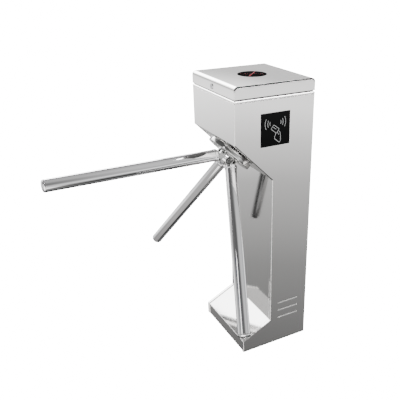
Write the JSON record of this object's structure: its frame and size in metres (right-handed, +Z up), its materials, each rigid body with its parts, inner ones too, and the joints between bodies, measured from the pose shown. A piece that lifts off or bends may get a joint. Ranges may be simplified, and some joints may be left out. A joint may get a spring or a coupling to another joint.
{
  "type": "vertical tripod turnstile",
  "caption": "Upright steel turnstile cabinet with folding tripod arms under a sloping head, a card reader window and a hinged lid with a round display.",
  "frame": {"origin": "on the floor, in the middle of the four anchor holes in the base plate", "axes": "+Z up along the cabinet, -Y towards the walkway where the horizontal arm points, +X towards the card reader side"},
  "size_m": [0.801, 0.8768, 1.0025],
  "materials": {
    "polished_steel": "polished",
    "chrome_tube": "polished",
    "machined_steel": "machined",
    "zinc_plate": "satin",
    "dark_window": "gloss",
    "black_plastic": "matte",
    "circuit_board": "satin",
    "black_rubber": "matte"
  },
  "bodies": {
    "cabinet": {"base_plate": "zinc_plate", "side_panel_left": "polished_steel", "side_panel_right": "polished_steel", "head_front_panel": "polished_steel", "centre_panel": "polished_steel", "rear_panel": "polished_steel", "rear_panel_screws": "machined_steel", "top_rim": "polished_steel", "lid_catch": "zinc_plate", "lid_hinge_fixed_leaves": "machined_steel", "lid_hinge_pins": "machined_steel", "cable_gland": "black_rubber", "reader_window": "dark_window", "reader_housing": "black_plastic", "reader_board": "circuit_board", "mechanism_front_plate": "zinc_plate", "mechanism_rear_plate": "zinc_plate", "mechanism_pillars": "machined_steel", "front_bearing": "machined_steel", "rear_bearing": "machined_steel", "lock_solenoids": "zinc_plate", "index_spring": "machined_steel", "position_sensor": "black_plastic", "electronics_plate": "zinc_plate", "control_board": "circuit_board", "power_supply": "zinc_plate", "terminal_block": "black_plastic"},
    "tripod": {"hub_shaft": "machined_steel", "hub_disc": "polished_steel", "arm_carrier": "chrome_tube", "hub_screws": "chrome_tube", "index_wheel": "machined_steel", "lock_wheel": "machined_steel", "sensor_disc": "zinc_plate", "arm_pivot_pins": "chrome_tube"},
    "lid": {"lid_shell": "polished_steel", "lid_end_left": "polished_steel", "lid_end_right": "polished_steel", "display_window": "dark_window", "display_board": "circuit_board", "lid_hinge_moving_leaves": "machined_steel", "lid_lock_barrel": "machined_steel"},
    "lid_lock": {"lid_lock_cam": "machined_steel"},
    "index_follower": {"index_lever": "machined_steel", "index_roller": "black_plastic"},
    "left_bolt": {"lock_bolt_left": "machined_steel"},
    "right_bolt": {"lock_bolt_right": "machined_steel"},
    "arm_1": {"arm_1_knuckle": "chrome_tube", "arm_1_tube": "chrome_tube", "arm_1_cap": "chrome_tube"},
    "arm_2": {"arm_2_knuckle": "chrome_tube", "arm_2_tube": "chrome_tube", "arm_2_cap": "chrome_tube"},
    "arm_3": {"arm_3_knuckle": "chrome_tube", "arm_3_tube": "chrome_tube", "arm_3_cap": "chrome_tube"}
  },
  "joints": [
    {"name": "tripod_spin", "type": "hinge", "parent": "cabinet", "child": "tripod", "pos_m": [0, -0.08212, 0.74812], "axis": [0, -0.7071, -0.7071], "continuous": true},
    {"name": "lid_open", "type": "hinge", "parent": "cabinet", "child": "lid", "pos_m": [0, 0.1543, 0.9605], "axis": [-1, 0, 0], "range_deg": [0, 95]},
    {"name": "lid_lock_turn", "type": "hinge", "parent": "lid", "child": "lid_lock", "pos_m": [0, -0.15, 0.977], "axis": [0, -1, 0], "range_deg": [0, 90]},
    {"name": "index_follow", "type": "hinge", "parent": "cabinet", "child": "index_follower", "pos_m": [-0.086, -0.08636, 0.80893], "axis": [0, -0.7071, -0.7071], "range_deg": [0, 3]},
    {"name": "left_bolt_slide", "type": "slide", "parent": "cabinet", "child": "left_bolt", "axis": [1, 0, 0], "range_m": [0, 0.005], "stiffness_N_per_m": 200},
    {"name": "right_bolt_slide", "type": "slide", "parent": "cabinet", "child": "right_bolt", "axis": [-1, 0, 0], "range_m": [0, 0.005], "stiffness_N_per_m": 200},
    {"name": "arm_1_fold", "type": "hinge", "parent": "tripod", "child": "arm_1", "pos_m": [0, -0.12554, 0.74069], "axis": [1, 0, 0], "range_deg": [0, 45]},
    {"name": "arm_2_fold", "type": "hinge", "parent": "tripod", "child": "arm_2", "pos_m": [-0.02204, -0.09854, 0.71369], "axis": [-0.5, -0.6124, 0.6124], "range_deg": [0, 45]},
    {"name": "arm_3_fold", "type": "hinge", "parent": "tripod", "child": "arm_3", "pos_m": [0.02204, -0.09854, 0.71369], "axis": [-0.5, 0.6124, -0.6124], "range_deg": [0, 45]}
  ]
}
